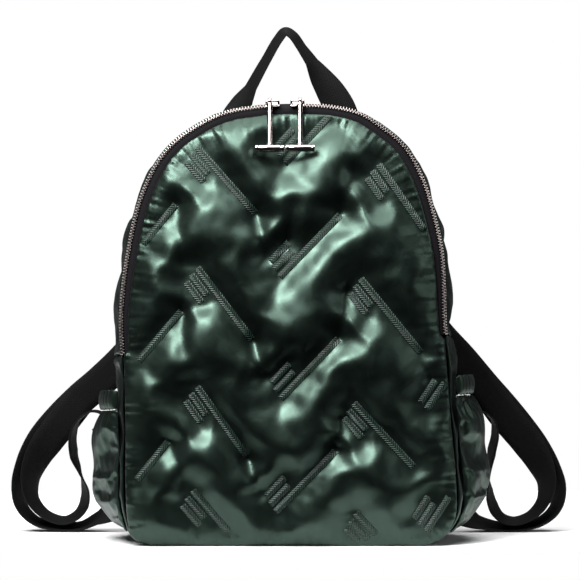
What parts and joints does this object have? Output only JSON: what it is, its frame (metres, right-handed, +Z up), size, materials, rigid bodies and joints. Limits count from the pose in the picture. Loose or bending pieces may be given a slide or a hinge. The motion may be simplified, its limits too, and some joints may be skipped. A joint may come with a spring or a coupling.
{
  "type": "quilted puffer backpack",
  "caption": "Soft puffer backpack with a herringbone-quilted front, domed zip with T-bar pulls, gathered side pockets, webbing top handle and shoulder straps.",
  "frame": {"origin": "on the floor, in the flat underside of the base, midway between its sides and between the front and back seams", "axes": "+Z up, the quilted front faces -Y, +X is to the right seen from the front"},
  "size_m": [0.5167, 0.1971, 0.4712],
  "materials": {
    "satin": "dark green metallic satin, quilted over filling",
    "webbing": "matt black woven webbing",
    "zip_tape": "matt black woven tape",
    "zip_teeth": "bright metal teeth",
    "nickel": "polished nickel plate",
    "plastic": "moulded black"
  },
  "bodies": {
    "bag": {"front_panel": "satin", "zip_gusset": "satin", "side_panel_left": "satin", "side_panel_right": "satin", "base_panel": "satin", "back_panel": "satin", "side_pocket_left": "satin", "pocket_band_left": "satin", "side_pocket_right": "satin", "pocket_band_right": "satin", "zip_tape_front": "zip_tape", "zip_tape_rear": "zip_tape", "zip_teeth_left": "zip_teeth", "zip_teeth_right": "zip_teeth", "zip_slider_left": "nickel", "zip_slider_right": "nickel", "top_handle": "webbing", "shoulder_strap_left": "webbing", "strap_tail_left": "webbing", "strap_slide_left": "plastic", "shoulder_strap_right": "webbing", "strap_tail_right": "webbing", "strap_slide_right": "plastic"},
    "pull_left": {"zip_pull_left": "nickel"},
    "pull_right": {"zip_pull_right": "nickel"}
  },
  "joints": [
    {"name": "pull_left_swing", "type": "hinge", "parent": "bag", "child": "pull_left", "pos_m": [-0.01781, -0.05295, 0.39216], "axis": [-1, 0, 0], "range_deg": [0, 200]},
    {"name": "pull_right_swing", "type": "hinge", "parent": "bag", "child": "pull_right", "pos_m": [0.00901, -0.05291, 0.39278], "axis": [-1, 0, 0], "range_deg": [0, 200]}
  ]
}
